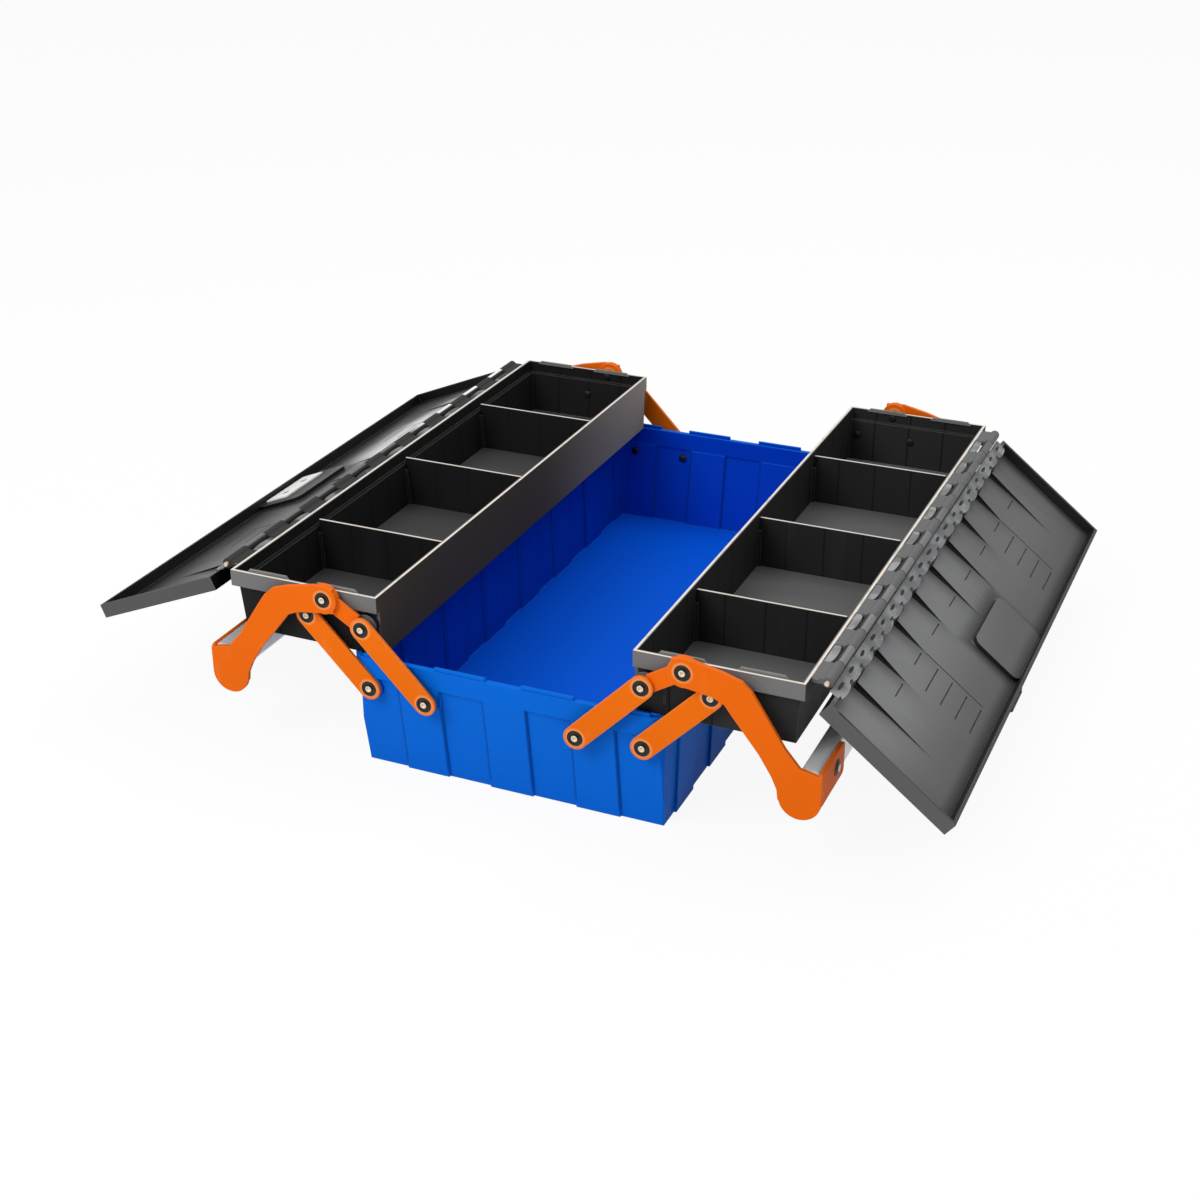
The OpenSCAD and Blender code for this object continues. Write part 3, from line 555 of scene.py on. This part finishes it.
def lid_finish(name, opening, base, lit, highlight, dimming):
    """Pressed sheet with painted light: a painted sheen and highlight, and painted shade near
    black on its steep faces and beside each louvre.
    """
    f = Finish(name)
    nx, ny, nz = f.facing()
    soft, edge = f.rounded(0.6 * MM)
    over, down = math.cos(opening), math.sin(opening)
    reach, outward = down_lid(f, opening), nx * f.x.sign()
    # 1 on the pressed face, 0 on the plain outer one
    pressed = f.fade(outward * down + nz * over, 0.0, 0.3)
    tone = f.mix(f.noise(8.0, 3), base, toned(base, 0.78))
    tone = f.mix((1 - pressed) * 0.6, tone, lit)
    sheen = f.fade(reach + f.noise(9.0, 2) * 26 * MM, 104 * MM, 44 * MM) * pressed
    tone = f.mix(sheen * 0.9, tone, lit)
    far = f.fade(f.y + f.noise(11.0, 2) * 30 * MM, 40 * MM, 80 * MM)
    broken = f.fade(f.noise(16.0, 1, (1, 0.4, 1)), 0.30, 0.44)
    tone = f.mix(sheen * far * broken, tone, highlight)
    tone = f.mix(f.fade(f.y, -190 * MM, 215 * MM) * dimming, tone, toned(lit, 0.4))
    # painted shade: soft dark bands run inside the rim and round the raised middle
    off_rim = (LID_END - abs(f.y)).at_most(LID_REACH - reach)
    tone = f.mix(f.fade(off_rim, 12 * MM, 4 * MM) * pressed * 0.7, tone, toned(base, 0.25))
    off_middle = (abs(f.y) - MIDDLE_HALF).at_least(MIDDLE_REACH - reach)
    channel = f.fade(off_middle, 13 * MM, 1 * MM) * (off_middle > 0.2 * MM) * pressed
    tone = f.mix(channel * 0.75, tone, toned(base, 0.25))
    # each louvre's own shadow, soft along it and sharp in a wedge
    beside = (0.0 - f.y) % LOUVRE_PITCH
    length = f.fade(reach, 66 * MM, 14 * MM) * (reach > 14 * MM) * pressed
    tone = f.mix((1 - f.fade(beside, 0.0, 17 * MM)) * length * 0.80, tone, toned(base, 0.3))
    wedge = (beside < (LOUVRE_REACH - reach) * 0.10) * (reach > LOUVRE_START)
    tone = f.mix(wedge * (f.y < LOUVRE_LAST_Y) * pressed, tone, grey(0.004))
    # painted shade on the steep faces, and a lighter painted shade on the rim's own outer ends
    lean = f.fade(abs(outward * over - nz * down), 0.6, 0.85)
    steep = (f.fade(abs(ny), 0.45, 0.8) + lean).at_most(1.0)
    inside = abs(f.y) < LID_END - 0.2 * MM
    tone = f.mix(steep * inside, tone, toned(base, 0.10))
    tone = f.mix(steep * (1 - inside), tone, tuple(0.02 + v * 0.30 for v in lit))
    # painted shade: creases and hollows found by ambient occlusion go near black
    occlusion_shade = f.node("ShaderNodeAmbientOcclusion", {"samples": 6}, {"Distance": 2.4 * MM}, "AO")
    tone = f.mix(f.fade(occlusion_shade, 0.85, 0.45) * 0.9, tone, grey(0.006))
    tone = f.mix(edge * 0.25, tone, toned(lit, 1.8))
    return f.close(tone, 0.36 + f.noise(18.0, 5) * 0.2, soft,
                   bump=f.noise(800.0, 2), depth=0.04 * MM, specular=0.30)


dress("lid_right", lid_finish("lid_grey", RIGHT_OPEN, grey(0.125), grey(0.205), grey(0.150), 0.45))
dress("lid_left", lid_finish("lid_dark", LEFT_OPEN, grey(0.012), grey(0.150), grey(0.85), 0.0))
for side in ("right", "left"):
    dress("hinge_pin_" + side, plated_steel)


# ------------------------------------------------------ the hinge strips
# Scalloped strips close each hinge: one runs from the tray's wall to the
# knuckles, the other from the knuckles onto the lid, and both are slotted.

STRIP_PITCH, STRIP_SPAN = 21.556 * MM, range(-9, 10)
# of each row of slots: its reach, its shift along the strip, its half height and half length
SLOTS = ((7.6 * MM, 0.0, 1.1 * MM, 4.4 * MM), (11.0 * MM, STRIP_PITCH / 2, 0.8 * MM, 2.8 * MM))


def strip_finish(name, opening, tone, bright):
    """Mottled sheet with two rows of uneven slots, painted in as dark shade."""
    f = Finish(name)
    soft, edge = f.rounded(0.3 * MM)
    reach, half = down_lid(f, opening), STRIP_PITCH / 2
    mottle = f.noise(70.0, 4)
    paint = f.mix(f.fade(mottle, 0.40, 0.66), tone, bright)
    slip = (f.noise(45.0, 2) - 0.5) * 9 * MM
    # each slot is painted shade, a dark patch where the sheet has no hole
    for middle, shift, high, wide in SLOTS:
        off = abs((f.y + slip + shift + half) % STRIP_PITCH - half) / wide
        rise = (reach + slip * 0.15 - middle) / high
        paint = f.mix(f.fade(off * off + rise * rise, 1.15, 0.85), paint, grey(0.004))
    paint = f.mix(edge * 0.5, paint, bright)
    return f.close(paint, 0.34 + mottle * 0.2, soft, bump=mottle, depth=0.6 * MM, specular=0.4)


def strip_pattern(material):
    """A scalloped leaf on each place, tilted about the hinge pin, each a little uneven."""
    p = Pattern("hinge_strip", Tilt=0.0, Turn=0.0, Start=0.0, Width=0.01, Lift=0.0, Length=0.02,
                Thickness=0.0006, Seed=7)
    start, width, lift = p.size("Start"), p.size("Width"), p.size("Lift")
    length, thick = p.size("Length"), p.size("Thickness")
    straight = width * 0.72
    band = p.node("GeometryNodeMeshCube", {}, {"Size": p.vector(straight, length, thick)})
    band = p.placed(band, Translation=p.vector(start + straight * 0.5, 0.0, lift))
    disc = p.node("GeometryNodeMeshCylinder", {}, {"Vertices": 28, "Radius": 1.0, "Depth": 0.92})
    scallop = p.placed(disc, Translation=p.vector(start + straight, 0.0, lift),
                       Scale=p.vector(width - straight, length * 0.47, thick))
    leaf = p.node("GeometryNodeJoinGeometry", {}, {"Geometry": [band, scallop]})
    uneven = p.node("FunctionNodeRandomValue", {"data_type": "FLOAT_VECTOR"}, {
        0: (0.95, 1.0, 1.0), 1: (1.06, 1.0, 1.0), "Seed": p.size("Seed")})
    return p.finish(leaf, material, smooth=False, Scale=uneven,
                    Rotation=p.vector(0.0, p.size("Tilt"), p.size("Turn")))


for side, sign, turn, opening, tone, bright in (
        ("right", 1, 0.0, RIGHT_OPEN, 0.15, 0.30), ("left", -1, math.pi, LEFT_OPEN, 0.030, 0.20)):
    places = [(sign * PIN_X, i * STRIP_PITCH, PIN_Z) for i in STRIP_SPAN]
    strips = strip_pattern(strip_finish("hinge_sheet_" + side, opening, grey(tone), grey(bright)))
    for part, tilt, start, width, lift in (("lid_", opening, 4.1 * MM, 9.4 * MM, -2.6 * MM),
                                           ("tray_", 0.0, -9.2 * MM, 5.2 * MM, 1.0 * MM)):
        strip = strips.grow("hinge_strip_" + part + side, places, Tilt=tilt, Turn=turn,
                            Start=start, Width=width, Lift=lift, Length=STRIP_PITCH + 0.1 * MM)
        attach(strip, part + side)


# -------------------------------------------------------------- the latch
# A black wire loop hangs in a folded bracket on the right lid and hooks
# over the keeper on the left lid, whose pale plate has two dark rivets.

def keeper_finish():
    f = Finish("keeper_pale")
    soft, edge = f.rounded(0.5 * MM)
    tone = f.mix(f.noise(80.0, 4), (0.92, 0.91, 0.87), (0.78, 0.77, 0.73))
    return f.close(f.mix(edge * 0.4, tone, (0.95, 0.93, 0.86)), 0.38, soft, metal=0.2)


for node in ("latch_loop", "keeper_hook", "keeper_rivets"):
    dress(node, black_steel)
for node in ("latch_bracket", "latch_rivets"):
    dress(node, plated_steel)
dress("keeper_plate", keeper_finish())


# ------------------------------------------- the floor, the sky and lamps
# A plain white floor that keeps only a soft shadow, an even sky, one large
# soft lamp above the front left and a weaker one above the back right.

def stage_floor(reach):
    f = Finish("floor_white")
    camera = f.node("ShaderNodeLightPath", out="Is Camera Ray")
    glossy = f.node("ShaderNodeLightPath", out="Is Glossy Ray")
    matt = f.node("ShaderNodeBsdfDiffuse", {}, {"Color": (0.86, 0.86, 0.86, 1)})
    glow = f.node("ShaderNodeEmission", {}, {"Color": (1, 1, 1, 1), "Strength": 1.0})
    mixed = f.node("ShaderNodeMixShader", {}, {
        0: (camera + glossy).at_most(1.0) * 0.92, 1: matt, 2: glow})
    f.node("ShaderNodeOutputMaterial", {}, {"Surface": mixed})
    mesh = bpy.data.meshes.new("floor")
    corners = [(-reach, -reach, 0), (reach, -reach, 0), (reach, reach, 0), (-reach, reach, 0)]
    mesh.from_pydata(corners, [], [(0, 1, 2, 3)])
    mesh.materials.append(f.material)
    floor = bpy.data.objects.new("floor", mesh)
    bpy.context.collection.objects.link(floor)


stage_floor(6.0)

world = bpy.data.worlds.new("sky")
bpy.context.scene.world = world
world.use_nodes = True
sky = Weave(world.node_tree)
even = sky.node("ShaderNodeBackground", {}, {"Color": (0.95, 0.97, 1.0, 1), "Strength": 0.55})
white = sky.node("ShaderNodeBackground", {}, {"Color": (1, 1, 1, 1), "Strength": 1.0})
seen = sky.node("ShaderNodeLightPath", out="Is Camera Ray")
mixed = sky.node("ShaderNodeMixShader", {}, {0: seen, 1: even, 2: white})
sky.node("ShaderNodeOutputWorld", {}, {"Surface": mixed})


def soft_lamp(name, place, width, power, colour=(1, 1, 1)):
    """A square lamp of this width that points at the box."""
    lamp = bpy.data.lights.new(name, "AREA")
    lamp.shape, lamp.size, lamp.size_y = "RECTANGLE", width, width
    lamp.energy, lamp.color = power, colour
    thing = bpy.data.objects.new(name, lamp)
    thing.location = place
    aim = Vector((0, 0, 0.05)) - Vector(place)
    thing.rotation_euler = aim.to_track_quat("-Z", "Y").to_euler()
    bpy.context.collection.objects.link(thing)


soft_lamp("key", (-0.7, -1.5, 1.5), 1.1, 26.0, (1.0, 0.985, 0.96))
soft_lamp("top", (0.4, 0.5, 1.7), 1.4, 14.0)


# ------------------------------------------------------------- the camera
# The photograph's viewpoint, found from the box's own edges.

EYE, LOOK_DOWN, LOOK_LEFT = (0.44171, -1.09110, 0.61818), 26.2331, 23.3837
lens = bpy.data.cameras.new("view")
lens.sensor_width = 36.0
lens.lens = 56.665
eye = bpy.data.objects.new("view", lens)
eye.location = EYE
eye.rotation_euler = (math.radians(90 - LOOK_DOWN), 0, math.radians(LOOK_LEFT))
bpy.context.collection.objects.link(eye)
bpy.context.scene.camera = eye
bpy.context.scene.view_settings.view_transform = "Standard"
